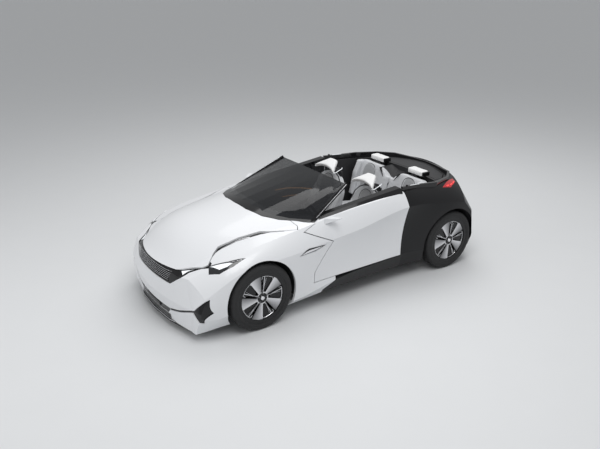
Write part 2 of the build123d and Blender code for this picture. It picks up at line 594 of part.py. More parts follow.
def make_suspension():
    """Cross-member with arms, knuckles, rear beam, hub carriers and arch liners."""
    x = FRONT_AXLE_X
    z = TYRE_RADIUS
    stub = axle_cylinder(x, HUB_BORE - 0.05, (KINGPIN_Y + 10, WHEEL_Y + 60))
    knuckle = block((x - 25, x + 25), (KINGPIN_Y - 15, KINGPIN_Y + 15), (z - 139, z + 139)) + stub
    knuckle += Pos(x, KINGPIN_Y, z) * Cylinder(12, 330)
    keep_pair("knuckle", knuckle)
    frame = block((x - 50, x + 50), (-770, 770), (z - 175, z - 145))
    frame += both(block((x - 50, x + 50), (430.3, 500), (z - 160, z + 170)))
    frame += both(block((x - 40, x + 40), (430.3, 770), (z + 145, z + 170)))
    for side in (1, -1):
        frame -= Pos(x, side * KINGPIN_Y, z) * Cylinder(12.05, 500)
    keep("front_subframe", frame)
    x = REAR_AXLE_X
    carrier = block((x - 40, x + 40), (690, 740), (z - 120, z + 120))
    carrier += axle_cylinder(x, HUB_BORE - 0.05, (720, WHEEL_Y + 60))
    keep("rear_axle", block((x - 60, x + 60), (-699, 699), (240, 299.7)) + both(carrier))
    inside = hull(PANEL + SEAT_GAP)
    for axle, x, y in (("front", FRONT_AXLE_X, HALF_WIDTH - WELL_DEPTH), ("rear", REAR_AXLE_X, REAR_WELL_IN)):
        liner = axle_cylinder(x, ARCH_RADIUS + 4, (y, 1000)) - axle_cylinder(x, ARCH_RADIUS, (0, 1100))
        liner = (liner & inside) & block((-2000, 2000), (0, 1000), (250, 900))
        keep_pair(f"arch_liner_{axle}", largest(liner))


for make in (
    make_body, make_inlays, make_rear_cockpit, make_tub, make_cabin, make_door_trim, make_wheels,
    make_suspension,
):
    make()
os.makedirs("parts", exist_ok=True)
for name, shape in STEPS.items():
    export_step(shape, f"parts/{name}.step")
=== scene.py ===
"""Looks of an open two-door concept car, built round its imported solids."""
import json
import math

import bmesh
import bpy
from bpy.props import FloatProperty, FloatVectorProperty, IntProperty, PointerProperty
from mathutils import Matrix, Quaternion, Vector
from mathutils.bvhtree import BVHTree


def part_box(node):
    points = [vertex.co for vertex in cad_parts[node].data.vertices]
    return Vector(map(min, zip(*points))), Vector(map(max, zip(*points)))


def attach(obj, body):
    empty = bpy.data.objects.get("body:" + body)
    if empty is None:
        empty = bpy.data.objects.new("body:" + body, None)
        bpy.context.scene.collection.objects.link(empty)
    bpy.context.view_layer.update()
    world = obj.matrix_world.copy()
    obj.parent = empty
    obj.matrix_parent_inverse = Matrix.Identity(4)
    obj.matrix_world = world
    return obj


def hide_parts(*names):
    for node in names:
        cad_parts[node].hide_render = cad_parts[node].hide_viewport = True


bl_info = {
    "name": "Open concept car",
    "version": (1, 0, 0),
    "blender": (4, 5, 0),
    "location": "View3D > Sidebar > Car",
    "description": "Dresses the packed concept car with finishes, tyres, wheels, lamps, trim and seats",
    "category": "Add Mesh",
}

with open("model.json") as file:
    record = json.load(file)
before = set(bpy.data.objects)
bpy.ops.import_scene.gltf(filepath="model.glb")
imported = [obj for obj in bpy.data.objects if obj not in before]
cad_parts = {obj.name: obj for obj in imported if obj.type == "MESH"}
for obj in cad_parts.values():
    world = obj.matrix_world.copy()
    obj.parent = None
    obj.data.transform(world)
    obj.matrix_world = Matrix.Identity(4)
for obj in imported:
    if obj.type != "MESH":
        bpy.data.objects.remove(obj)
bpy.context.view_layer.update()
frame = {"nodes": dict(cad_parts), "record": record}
NODES = frame["nodes"]
SIDES = (("left", 1), ("right", -1))
AXLES = ("front", "rear")
FINISHES = {}
TREES = {}

SHARP_ANGLE = math.radians(35)

# Wheels: the blades, in degrees round the axis and metres from it
BLADES = 5
BLADE_STEP = 72
BLADE_START = 10
BLADE_MIDDLE = 46
BLADE_END = 0.2265
HUB_RADIUS = 0.052
BARREL_DEPTH = 0.055

# Rakes of the seat backs, front and rear
FRONT_RAKE = Vector((-0.16, 0, 0.59)).normalized()
REAR_RAKE = Vector((-0.145, 0, 0.515)).normalized()
SEAT_MIDDLE = 0.345
REAR_SEAT_MIDDLE = 0.318

# The camera: its place, then its yaw, pitch and roll in degrees
CAMERA_PLACE = (4.034, 5.729, 3.380)
CAMERA_AIM = (-124.239, -22.094, -0.1)
CAMERA_LENS = 40.8
FLOOR_REACH = 60
WORLD_STRENGTH = 0.62
# Name, place, size and power of each light
LIGHTS = (
    ("key", (1.5, 3.0, 6.5), 4.0, 190),
    ("top", (-2.5, -1.5, 6.0), 5.0, 150),
    ("nose", (6.5, -1.0, 3.5), 3.0, 60),
)


# Shader maths


class Num:
    """A number in a shader, with the sums that are used."""

    def __init__(self, finish, socket):
        self.finish, self.socket = finish, socket

    def _sum(self, operation, *values):
        return self.finish.node("ShaderNodeMath", {"operation": operation}, *values)

    def __add__(self, other):
        return self._sum("ADD", self, other)

    def __sub__(self, other):
        return self._sum("SUBTRACT", self, other)

    def __rsub__(self, other):
        return self._sum("SUBTRACT", other, self)

    def __mul__(self, other):
        return self._sum("MULTIPLY", self, other)

    def __pow__(self, other):
        return self._sum("POWER", self, other)

    def __gt__(self, other):
        return self._sum("GREATER_THAN", self, other)

    def __lt__(self, other):
        return self._sum("LESS_THAN", self, other)

    def size(self):
        return self._sum("ABSOLUTE", self)

    def larger(self, other):
        return self._sum("MAXIMUM", self, other)


class Finish:
    """A node material under construction."""

    def __init__(self, name, base, roughness, metallic=0.0, **sockets):
        self.material = bpy.data.materials.new(name)
        self.material.use_nodes = True
        self.tree = self.material.node_tree
        self.shader = self.tree.nodes["Principled BSDF"]
        self.set(Roughness=roughness, Metallic=metallic)
        self.shader.inputs["Base Color"].default_value = (*base, 1)
        self.base = base
        for socket, value in sockets.items():
            self.shader.inputs[socket.replace("_", " ")].default_value = value
        FINISHES[name] = self.material

    def node(self, kind, settings=None, *values, out=0, **named):
        """Adds a node: its settings first, then the values or links of its sockets."""
        made = self.tree.nodes.new(kind)
        for key, value in (settings or {}).items():
            setattr(made, key, value)
        sockets = [(made.inputs[i], v) for i, v in enumerate(values)]
        sockets += [(made.inputs[k.replace("_", " ")], v) for k, v in named.items()]
        for socket, value in sockets:
            self.join(value, socket)
        return Num(self, made.outputs[out])

    def join(self, value, socket):
        if isinstance(value, Num):
            self.tree.links.new(value.socket, socket)
        else:
            socket.default_value = value

    def set(self, **sockets):
        for name, value in sockets.items():
            self.join(value, self.shader.inputs[name.replace("_", " ")])
        return self

    def place(self):
        """Where a point is, in metres, on its own piece."""
        return self.node("ShaderNodeTexCoord", out=3)

    def parts(self, vector):
        split = self.tree.nodes.new("ShaderNodeSeparateXYZ")
        self.join(vector, split.inputs[0])
        return [Num(self, split.outputs[i]) for i in range(3)]

    def scaled(self, vector, scale):
        return self.node("ShaderNodeVectorMath", {"operation": "MULTIPLY"}, vector, scale)

    def noise(self, scale, detail=3.0, vector=None):
        place = vector or self.place()
        return self.node("ShaderNodeTexNoise", None, Vector=place, Scale=scale, Detail=detail)

    def mix(self, mask, low, high):
        """A colour that goes from low to high with a mask."""
        made = self.tree.nodes.new("ShaderNodeMix")
        made.data_type = "RGBA"
        for index, value in ((0, mask), (6, low), (7, high)):
            if isinstance(value, tuple):
                value = (*value, 1)
            self.join(value, made.inputs[index])
        return Num(self, made.outputs[2])

    def vary(self, mask, amount):
        """Takes the base colour a little each way with a mask."""
        darker = tuple(c * (1 - amount) for c in self.base)
        lighter = tuple(min(1, c * (1 + amount)) for c in self.base)
        return self.set(Base_Color=self.mix(mask, darker, lighter))

    def speckle(self, scale, amount):
        return self.vary(self.noise(scale), amount)

    def bump(self, height, depth, strength):
        made = self.node("ShaderNodeBump", None, Strength=strength, Distance=depth, Height=height)
        return self.set(Normal=made)


def colours():
    return bpy.context.scene.car_colours


def sizes():
    return bpy.context.scene.car_sizes


def paint(name, base, roughness, coat, flake=0.02, shine=0.5):
    """Body paint: fine flake in the colour and a soft ripple in the gloss."""
    made = Finish(
        name, base, roughness, Coat_Weight=coat, Coat_Roughness=0.08, Specular_IOR_Level=shine,
    )
    made.speckle(900, flake)
    made.set(Roughness=made.noise(6) * 0.05 + (roughness - 0.025))


def grained(name, base, roughness, scale=700, depth=0.0002):
    """Moulded plastic with a fine grain."""
    made = Finish(name, base, roughness)
    made.speckle(14, 0.18)
    made.set(Roughness=made.noise(30) * 0.12 + (roughness - 0.06))
    made.bump(made.noise(scale, 2), depth, 0.5)


def gloss(name, base, roughness=0.12, coat=0.15, **sockets):
    """Polished plastic, with faint dust in its gloss."""
    made = Finish(name, base, roughness, Coat_Weight=coat, Specular_IOR_Level=0.3, **sockets)
    made.speckle(40, 0.1)
    made.set(Roughness=made.noise(25) * 0.06 + (roughness - 0.03))


def woven(name, base, pitch=0.0035, contrast=0.16):
    """Cloth: two crossed sets of threads and a heathered colour."""
    made = Finish(name, base, 0.9, Sheen_Weight=0.25, Sheen_Roughness=0.5)
    x, y, z = made.parts(made.place())
    turn = 2 * math.pi / pitch
    warp = made.node("ShaderNodeMath", {"operation": "SINE"}, (x + z * 0.7) * turn)
    weft = made.node("ShaderNodeMath", {"operation": "SINE"}, (y + z * 0.7) * turn)
    threads = (warp * weft) * 0.5 + 0.5
    made.vary(made.noise(260, 4) * 0.6 + threads * 0.4, contrast)
    made.bump(threads + made.noise(500, 2) * 0.5, 0.0006, 0.45)


def metal(name, base, roughness, metallic, grain, amount, cloud, spread, least):
    """Metal or rubber whose gloss drifts from least to least plus spread."""
    made = Finish(name, base, roughness, metallic)
    made.speckle(grain, amount)
    return made.set(Roughness=made.noise(cloud) * spread + least)


def rim_finish(name, centre, facing):
    """A machined wheel: brushed blades with painted shade, each blade dark on one side and bright on
    the other, before a dark barrel.
    """
    made = Finish(name, (0.6, 0.6, 0.62), 0.3, 1.0)
    x, y, z = made.parts(made.place())
    x, z, y = x - centre.x, z - centre.z, (y - centre.y).size()
    reach = (x * x + z * z) ** 0.5
    turn = made.node("ShaderNodeMath", {"operation": "ARCTAN2"}, z * -1, x * facing)
    turn = turn * math.degrees(1) - BLADE_START + BLADE_STEP / 2
    local = made.node("ShaderNodeMath", {"operation": "FLOORED_MODULO"}, turn, BLADE_STEP)
    dark = (reach > BLADE_END).larger(y < BARREL_DEPTH).larger(reach < HUB_RADIUS)
    streaks = made.noise(1.0, 5, made.scaled(made.place(), (240, 240, 40)))
    # Painted shade and highlight: across each blade the silver goes from dark to bright, standing in
    # for light falling on a twisted blade.
    spread = made.node("ShaderNodeMapRange", None, local, 11.0, 43.0, 0.0, 1.0)
    shaded_silver = made.mix(spread * 0.8 + streaks * 0.2, (0.10, 0.10, 0.105), (0.82, 0.82, 0.84))
    made.set(Base_Color=made.mix(dark, shaded_silver, (0.012, 0.012, 0.013)))
    made.set(Metallic=1 - dark * 0.8, Roughness=streaks * 0.14 + dark * 0.15 + 0.24)


def glass_finish():
    """Smoked glass, opaque in a band along its foot and a little clearer to the top."""
    made = Finish(
        "screen_glass", (0.008, 0.009, 0.011), 0.03, Coat_Weight=0.2, Specular_IOR_Level=0.35,
    )
    made.speckle(3, 0.2)
    x, y, z = made.parts(made.place())
    width = y.size()
    band = (x + width * width * width * 1.23) > 0.792
    tint = made.node("ShaderNodeMapRange", None, z, 0.95, 1.17, 0.84, 0.70)
    made.set(Alpha=tint.larger(band))


def make_finishes():
    c = colours()
    paint("pearl_white", tuple(c.body_white), 0.34, 0.45)
    paint("satin_black", tuple(c.body_black), 0.3, 0.05, 0.12, 0.3)
    paint("floor_paint", (0.02, 0.02, 0.022), 0.6, 0.05, 0.2)
    gloss("gloss_black", (0.009, 0.009, 0.01))
    gloss("piano_rail", (0.012, 0.012, 0.013), 0.16, 0.4)
    gloss("tail_red", tuple(c.tail_red), 0.1, 1.0)
    gloss("lamp_black", (0.012, 0.013, 0.015), 0.08, 1.0)
    for name, base, roughness, coat, glow, strength in (
        ("lamp_white", (0.86, 0.88, 0.9), 0.18, 1.0, (0.9, 0.95, 1), 0.35),
        ("ambient_orange", (0.9, 0.42, 0.12), 0.3, 0.2, (1, 0.5, 0.16), 1.2),
        ("tail_glow", (0.85, 0.03, 0.03), 0.15, 1.0, (1, 0.06, 0.05), 0.5),
    ):
        gloss(name, base, roughness, coat, Emission_Color=(*glow, 1), Emission_Strength=strength)
    grained("dark_trim", (0.022, 0.022, 0.024), 0.62)
    grained("skirt_black", (0.016, 0.016, 0.017), 0.55, 160, 0.0012)
    grained("plate_black", (0.02, 0.02, 0.021), 0.35, 900, 0.0001)
    woven("seat_fabric", tuple(c.seat_grey))
    woven("seat_insert", tuple(v * 0.62 for v in c.seat_grey), 0.006, 0.22)
    woven("headrest_white", (0.82, 0.82, 0.82), 0.003, 0.06)
    woven("piping", (0.02, 0.02, 0.022), 0.002, 0.3)
    metal("chassis_steel", (0.32, 0.32, 0.33), 0.45, 0.9, 60, 0.2, 80, 0.2, 0.35)
    metal("bright_metal", (0.78, 0.78, 0.8), 0.22, 1.0, 220, 0.06, 90, 0.12, 0.16)
    metal("dark_metal", (0.06, 0.06, 0.063), 0.35, 0.9, 120, 0.15, 70, 0.12, 0.3)
    rubber = metal("tyre_rubber", (0.022, 0.022, 0.023), 0.82, 0.0, 90, 0.25, 40, 0.14, 0.72)
    rubber.bump(rubber.noise(600, 2), 0.0003, 0.5)
    alloy = Finish("engine_alloy", (0.2, 0.2, 0.21), 0.55, 0.7)
    alloy.speckle(120, 0.3)
    alloy.bump(alloy.noise(300), 0.0008, 0.6)
    glass_finish()
    for axle in AXLES:
        for side, sign in SIDES:
            rim_finish(f"rim_{axle}_{side}", middle(f"tyre_{axle}_{side}"), sign)


# Mesh building


def body_of(node):
    for body, members in frame["record"]["behaviour"]["bodies"].items():
        if node in members:
            return body
    raise KeyError(node)


def middle(node):
    low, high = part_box(node)
    return (low + high) / 2


def piece(name, verts, faces, finish, body, slot, smooth=True):
    """A mesh object that rides on a body."""
    mesh = bpy.data.meshes.new(name)
    mesh.from_pydata([tuple(v) for v in verts], [], faces)
    mesh.validate()
    work = bmesh.new()
    work.from_mesh(mesh)
    bmesh.ops.recalc_face_normals(work, faces=work.faces)
    work.to_mesh(mesh)
    work.free()
    made = bpy.data.objects.new(name, mesh)
    bpy.context.scene.collection.objects.link(made)
    mesh.materials.append(FINISHES[finish])
    if smooth:
        mesh.shade_smooth()
        mesh.set_sharp_from_angle(angle=SHARP_ANGLE)
    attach(made, body)
    return made


def grid_faces(count, size, across=True, along=False):
    """Faces between count rows of size points.
    across shuts each row into a ring, and along joins the last row to the first."""
    faces = []
    for i in range(count if along else count - 1):
        a, b = i * size, (i + 1) % count * size
        for j in range(size if across else size - 1):
            k = (j + 1) % size
            faces.append((a + j, a + k, b + k, b + j))
    return faces


def capped_faces(count, size):
    """Faces between count rings of size points, and over both ends."""
    last = (count - 1) * size
    return grid_faces(count, size) + [tuple(range(size)), tuple(range(last, last + size))]


def joined(shapes):
    """Several (verts, faces) as one."""
    verts, faces = [], []
    for more, polys in shapes:
        faces += [tuple(i + len(verts) for i in poly) for poly in polys]
        verts += list(more)
    return verts, faces


def tube(points, radius, sides=8, closed=False):
    """A round bar along a line of points. Its radius is a number, or one for each point."""
    points = [Vector(p) for p in points]
    count = len(points)
    verts, up = [], None
    for i, here in enumerate(points):
        before = points[i - 1] if i or closed else here
        after = points[(i + 1) % count] if i < count - 1 or closed else here
        along = (after - before).normalized()
        if up is None:
            up = along.orthogonal().normalized()
        up = (up - along * up.dot(along)).normalized()
        side = along.cross(up)
        thick = radius[i] if isinstance(radius, (list, tuple)) else radius
        for j in range(sides):
            turn = 2 * math.pi * j / sides
            verts.append(here + up * (math.cos(turn) * thick) + side * (math.sin(turn) * thick))
    return verts, grid_faces(count, sides, along=True) if closed else capped_faces(count, sides)


def turned(centre, reach, turn, out):
    """A point by its distance from a wheel's axis, its turn about it and how far along it."""
    x, y, z = centre
    return x + reach * math.cos(turn), y + out, z - reach * math.sin(turn)


def lathe(profile, centre, side=1, segments=96, closed=True):
    """A profile of (radius, offset outward) turned about a wheel's axis."""
    verts = []
    for i in range(segments):
        turn = 2 * math.pi * i / segments
        verts += [turned(centre, reach, turn, side * out) for reach, out in profile]
    return verts, grid_faces(segments, len(profile), across=closed, along=True)


def surface(name):
    """The faces of a CAD node, for laying trim on it."""
    if name not in TREES:
        mesh = NODES[name].data
        verts = [v.co.copy() for v in mesh.vertices]
        TREES[name] = BVHTree.FromPolygons(verts, [list(p.vertices) for p in mesh.polygons])
    return TREES[name]


def laid(tree, point, way):
    """Where a point seen from a side meets a surface, and the surface's outward direction."""
    a, b = point
    place, ray = {
        "top": ((a, b, 3), (0, 0, -1)),
        "side": ((a, 3, b), (0, -1, 0)),
        "front": ((4, a, b), (-1, 0, 0)),
    }[way]
    ray = Vector(ray)
    hit, normal, _, _ = tree.ray_cast(Vector(place), ray)
    if hit is None:
        raise RuntimeError(f"nothing lies under {point} from the {way}")
    return hit, normal if normal.dot(ray) < 0 else -normal


def spaced(points, step=0.02):
    """A line of points with more put in between."""
    result = []
    for a, b in zip(points, points[1:]):
        count = max(1, round(math.dist(a, b) / step))
        result += [tuple(p + (q - p) * i / count for p, q in zip(a, b)) for i in range(count)]
    return result + [points[-1]]


def strip(tree, line, way, width, height, sink=0.002):
    """A raised band laid along a line on a surface. Its width is a number, or one for each end."""
    places = [laid(tree, p, way) for p in spaced(line)]
    count = len(places)
    first, last = width if isinstance(width, tuple) else (width, width)
    verts = []
    for i, (here, normal) in enumerate(places):
        along = (places[min(i + 1, count - 1)][0] - places[max(i - 1, 0)][0]).normalized()
        across = normal.cross(along).normalized()
        half = (first + (last - first) * i / max(1, count - 1)) / 2
        edge = height * 0.6
        for a, b in ((-1, -sink), (-1, edge), (-0.7, height), (0.7, height), (1, edge), (1, -sink)):
            verts.append(here + across * (half * a) + normal * b)
    return verts, capped_faces(count, 6)


def inlay(tree, outline, way, lift, thickness, cuts=3):
    """A flat-sided panel with an outline, laid on a surface."""
    edge_step, longest = 0.03, 0.025
    work = bmesh.new()
    rim = spaced(outline + [outline[0]], edge_step)[:-1]
    work.faces.new([work.verts.new((a, b, 0)) for a, b in rim])
    bmesh.ops.triangulate(work, faces=work.faces)
    for _ in range(cuts):
        long = [e for e in work.edges if e.calc_length() > longest]
        if long:
            bmesh.ops.subdivide_edges(work, edges=long, cuts=1)
            bmesh.ops.triangulate(work, faces=work.faces)
    work.verts.ensure_lookup_table()
    places = [laid(tree, (v.co.x, v.co.y), way) for v in work.verts]
    top = [hit + normal * lift for hit, normal in places]
    low = [hit + normal * (lift - thickness) for hit, normal in places]
    count = len(top)
    faces = [tuple(v.index for v in f.verts) for f in work.faces]
    edges = [tuple(v.index for v in e.verts) for e in work.edges if e.is_boundary]
    work.free()
    walls = [(a, b, b + count, a + count) for a, b in edges]
    return top + low, faces + [tuple(i + count for i in reversed(f)) for f in faces] + walls


def mirrored(shape):
    verts, faces = shape
    return [(v[0], -v[1], v[2]) for v in verts], faces


def pair(name, shape, finish, slot):
    """A left piece of the body and its mirror image."""
    for side, sign in SIDES:
        form = shape if sign > 0 else mirrored(shape)
        piece(f"{name}_{side}", *form, finish, "body", slot)


def box_form(low, high, bevel=0.004):
    """A box with rounded edges."""
    work = bmesh.new()
    bmesh.ops.create_cube(work, size=1)
    for v in work.verts:
        v.co = Vector(l + (h - l) * (c + 0.5) for l, h, c in zip(low, high, v.co))
    bmesh.ops.bevel(
        work, geom=work.edges, offset=bevel, segments=3, profile=0.6, affect="EDGES",
    )
    work.verts.index_update()
    shape = [v.co.copy() for v in work.verts], [tuple(v.index for v in f.verts) for f in work.faces]
    work.free()
    return shape


# Soft pieces


def soft(
    name, outline, place, thickness, finish="seat_fabric", nodes=(),
    voxel=0.011, rounds=10, swell=0.006, warp=None, body="body",
):
    """A padded piece: an outline given thickness, rounded off, then swelled by cloth pressure.
    place turns (along the outline's two ways, through) into the car's frame."""
    half = thickness / 2
    work = bmesh.new()
    low = [work.verts.new(place @ Vector((a, b, -half))) for a, b in outline]
    top = [work.verts.new(place @ Vector((a, b, half))) for a, b in outline]
    work.faces.new(low)
    work.faces.new(top)
    for i in range(len(outline)):
        j = (i + 1) % len(outline)
        work.faces.new((low[i], low[j], top[j], top[i]))
    bmesh.ops.recalc_face_normals(work, faces=work.faces)
    mesh = bpy.data.meshes.new(name)
    work.to_mesh(mesh)
    work.free()
    made = bpy.data.objects.new(name, mesh)
    bpy.context.scene.collection.objects.link(made)
    remesh = made.modifiers.new("grid", "REMESH")
    remesh.mode, remesh.voxel_size = "VOXEL", voxel
    soften = made.modifiers.new("soften", "SMOOTH")
    soften.factor, soften.iterations = 0.5, rounds
    apply_modifiers(made)
    if warp:
        for vertex in made.data.vertices:
            vertex.co = warp(vertex.co)
    inflate(made, swell)
    mesh = made.data
    mesh.materials.append(FINISHES[finish])
    mesh.shade_smooth()
    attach(made, body)
    if nodes:
        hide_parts(*nodes)


def apply_modifiers(made):
    shown = made.evaluated_get(bpy.context.evaluated_depsgraph_get())
    shaped = bpy.data.meshes.new_from_object(shown)
    made.modifiers.clear()
    made.data = shaped


def inflate(made, cap):
    """Swells a closed mesh by cloth pressure, each point by no more than a cap."""
    start = [v.co.copy() for v in made.data.vertices]
    cloth = made.modifiers.new("cloth", "CLOTH")
    cloth.settings.use_pressure = True
    cloth.settings.uniform_pressure_force = 4
    cloth.settings.effector_weights.gravity = 0
    cloth.settings.quality = 4
    scene = bpy.context.scene
    for step in range(1, 21):
        scene.frame_set(step)
    apply_modifiers(made)
    scene.frame_set(1)
    for vertex, old in zip(made.data.vertices, start):
        move = vertex.co - old
        if move.length > cap:
            vertex.co = old + move * (cap / move.length)


def tilted(origin, across, up):
    """A frame for an outline: its first way, its second way, and through it."""
    across, up = Vector(across).normalized(), Vector(up).normalized()
    up = (up - across * up.dot(across)).normalized()
    through = across.cross(up)
    turn = Matrix((across, up, through)).transposed().to_4x4()
    return Matrix.Translation(Vector(origin)) @ turn


def rounded(width, height, radius, count=6, centre=(0, 0)):
    """A rounded rectangle's outline."""
    result = []
    for cx, cy, start in ((1, 1, 0), (-1, 1, 90), (-1, -1, 180), (1, -1, 270)):
        for i in range(count + 1):
            turn = math.radians(start + 90 * i / count)
            result.append((
                centre[0] + cx * (width / 2 - radius) + radius * math.cos(turn),
                centre[1] + cy * (height / 2 - radius) + radius * math.sin(turn),
            ))
    return result


def oval_insert(name, place, centre, lift):
    """An oval panel of darker cloth on a seat back, with piping round it."""
    width, height = 0.2, 0.36
    edge = rounded(width, height, width * 0.46, 8, (0, centre))
    pad = place @ Matrix.Translation((0, 0, lift - 0.006))
    soft(
        f"{name}_insert", edge, pad, 0.014, "seat_insert",
        voxel=0.006, rounds=4, swell=0.002,
    )
    ring = [place @ Vector((a, b, lift + 0.001)) for a, b in edge]
    piece(f"{name}_ring", *tube(ring, 0.0035, 8, True), "piping", "body", "dark_trim")


# Operators


class CAR_OT_finishes(bpy.types.Operator):
    """Gives every carried-over solid its finish"""

    bl_idname = "car.finishes"
    bl_label = "Finishes"

    def execute(self, context):
        make_finishes()
        special = {"deck_rim": "piano_rail"}
        for side, _ in SIDES:
            special[f"side_skirt_{side}"] = "skirt_black"
            special[f"headlamp_{side}"] = "lamp_black"
        for row in frame["record"]["subparts"]:
            node = row["node"]
            name = node if node.startswith("rim_") else special.get(node, row["material_slot"])
            mesh = NODES[node].data
            if mesh.materials:
                for slot in NODES[node].material_slots:
                    slot.material = FINISHES[name]
            else:
                mesh.materials.append(FINISHES[name])
        return {"FINISHED"}


class CAR_OT_tyres(bpy.types.Operator):
    """Makes the four tyres with grooves, sipes and sidewall ribs"""

    bl_idname = "car.tyres"
    bl_label = "Tyres"

    # (radius, offset outward) of the inner sidewall, from the bead to the shoulder
    WALL = [
        (0.2405, -0.0768), (0.2665, -0.0768), (0.2665, -0.0862), (0.275, -0.0885),
        (0.288, -0.0885), (0.2885, -0.0872), (0.2925, -0.0872), (0.293, -0.0882),
        (0.304, -0.0872), (0.320, -0.083), (0.329, -0.0745),
    ]
    TREAD_EDGE = 0.064
    GROOVES = (-0.043, -0.016, 0.016, 0.043)
    GROOVE_TAPER = 0.001
    SIPE_DEPTH = 0.004
    SIPE_STEP = 6
    SIPE_SLANT = 60
    SIPE_LIMIT = 0.012

    def execute(self, context):
        for axle in AXLES:
            for side, sign in SIDES:
                node = f"tyre_{axle}_{side}"
                shape = self.form(middle(node), sign)
                made = piece(f"road_{node}", *shape, "tyre_rubber", body_of(node), "tyre_rubber")
                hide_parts(node)
        return {"FINISHED"}

    def profile(self):
        full, half = sizes().tyre_radius, sizes().groove_width / 2
        floor = full - sizes().groove_depth
        rows = self.WALL + [(full, -self.TREAD_EDGE)]
        for place in self.GROOVES:
            rows.append((full, place - half))
            rows.append((floor, place - half + self.GROOVE_TAPER))
            rows.append((floor, place + half - self.GROOVE_TAPER))
            rows.append((full, place + half))
        rows.append((full, self.TREAD_EDGE))
        return rows + [(reach, -out) for reach, out in reversed(self.WALL)]

    def form(self, centre, sign):
        rows, segments = self.profile(), sizes().tyre_segments
        lowest = sizes().tyre_radius - self.SIPE_LIMIT
        shoulder, size = len(self.WALL) - 1, len(rows)
        verts = []
        for i in range(segments):
            turn = 2 * math.pi * i / segments
            for j, (reach, out) in enumerate(rows):
                slant = round(abs(out) * self.SIPE_SLANT)
                on_tread = shoulder <= j < size - shoulder and reach > lowest
                if on_tread and (i + slant) % self.SIPE_STEP == 0:
                    reach -= self.SIPE_DEPTH
                verts.append(turned(centre, reach, turn, sign * out))
        return verts, grid_faces(segments, size, along=True)


class CAR_OT_wheels(bpy.types.Operator):
    """Adds the bright window outlines, dark insets, lip, cap and bolts of each wheel"""

    bl_idname = "car.wheels"
    bl_label = "Wheels"

    # Profiles of (radius, offset outward)
    LIP = ((0.2645, 0.078), (0.2655, 0.0825), (0.262, 0.0845), (0.2585, 0.0825), (0.2585, 0.078))
    CAP = (
        (0.0, 0.0765), (0.022, 0.0765), (0.022, 0.080), (0.019, 0.0845),
        (0.014, 0.0862), (0.008, 0.0868), (0.0, 0.087),
    )
    BOLT = ((0, 0), (0.006, 0), (0.006, 0.006), (0, 0.007))
    BOLT_CIRCLE, BOLT_OUT = 0.046, 0.0755
    # (distance from the axis, thickness) of the bright line down each blade
    SPINE = ((0.07, 0.0035), (0.11, 0.0028), (0.15, 0.0024), (0.2, 0.002))
    SPINE_OUT = 0.0735
    # A window between two blades: its first and last degree, its radii and how far out it is
    WINDOW_FIRST, WINDOW_LAST = 18, 54
    WINDOW_INNER, WINDOW_OUTER = 0.085, 0.2195
    OUTLINE_OUT, OUTLINE_THICKNESS = 0.0712, 0.0034
    INSET_OUT = (0.064, 0.060)
    INSET_GAP = 0.002

    def execute(self, context):
        for axle in AXLES:
            for side, sign in SIDES:
                tag = f"{axle}_{side}"
                centre, body = middle(f"tyre_{tag}"), body_of(f"rim_{tag}")
                shape = self.outlines(centre, sign)
                piece(f"wheel_outlines_{tag}", *shape, "bright_metal", body, "blade_silver")
                shape = self.insets(centre, sign)
                piece(f"wheel_insets_{tag}", *shape, "gloss_black", body, "gloss_black")
                shape = lathe(self.LIP, centre, sign)
                piece(f"wheel_lip_{tag}", *shape, "dark_metal", body, "blade_silver")
                shape = lathe(self.CAP, centre, sign, 48, False)
                piece(f"wheel_cap_{tag}", *shape, "bright_metal", body, "blade_silver")
                shape = self.bolts(centre, sign)
                piece(f"wheel_bolts_{tag}", *shape, "chassis_steel", body, "chassis_steel", False)
        return {"FINISHED"}

    def at(self, centre, reach, degrees, out, sign):
        """A place on a wheel: its distance from the axis, its turn and how far out it is."""
        turn = math.radians(degrees if sign > 0 else 180 - degrees)
        return turned(centre, reach, turn, sign * out)

    def window(self, i, inset=0.0):
        """A window's outline as (distance, degrees), wound round it."""
        low = BLADE_STEP * i + self.WINDOW_FIRST + inset * 300
        high = BLADE_STEP * i + self.WINDOW_LAST - inset * 250
        outer, inner = self.WINDOW_OUTER - inset, self.WINDOW_INNER + inset
        edge = [(inner, low + 8), (0.15, low + 2), (0.2, low), (outer - 0.006, low + 0.8)]
        edge += [(outer, low + 3 + (high - low - 6) * k / 6) for k in range(7)]
        edge += [(outer - 0.006, high - 0.8), (0.2, high - 1.5), (0.192, high + 1.0)]
        return edge + [(0.15, high - 4), (inner, high - 9)]

    def outlines(self, centre, sign):
        shapes = []
        for i in range(BLADES):
            edge = self.window(i)[2:-2]
            line = [self.at(centre, r, a, self.OUTLINE_OUT, sign) for r, a in edge]
            shapes.append(tube(line, self.OUTLINE_THICKNESS, 6))
            spine = []
            for reach, _ in self.SPINE:
                degrees = BLADE_STEP * i + BLADE_MIDDLE - 6 * (reach - 0.07) / 0.13
                spine.append(self.at(centre, reach, degrees, self.SPINE_OUT, sign))
            shapes.append(tube(spine, [thick for _, thick in self.SPINE], 6))
        return joined(shapes)

    def insets(self, centre, sign):
        shapes = []
        for i in range(BLADES):
            edge = self.window(i, self.INSET_GAP)
            verts = [self.at(centre, r, a, out, sign) for out in self.INSET_OUT for r, a in edge]
            shapes.append((verts, capped_faces(2, len(edge))))
        return joined(shapes)

    def bolts(self, centre, sign):
        shapes = []
        for i in range(BLADES):
            degrees = BLADE_STEP * i + BLADE_MIDDLE
            place = self.at(centre, self.BOLT_CIRCLE, degrees, self.BOLT_OUT, sign)
            shapes.append(lathe(self.BOLT, place, sign, 6, False))
        return joined(shapes)


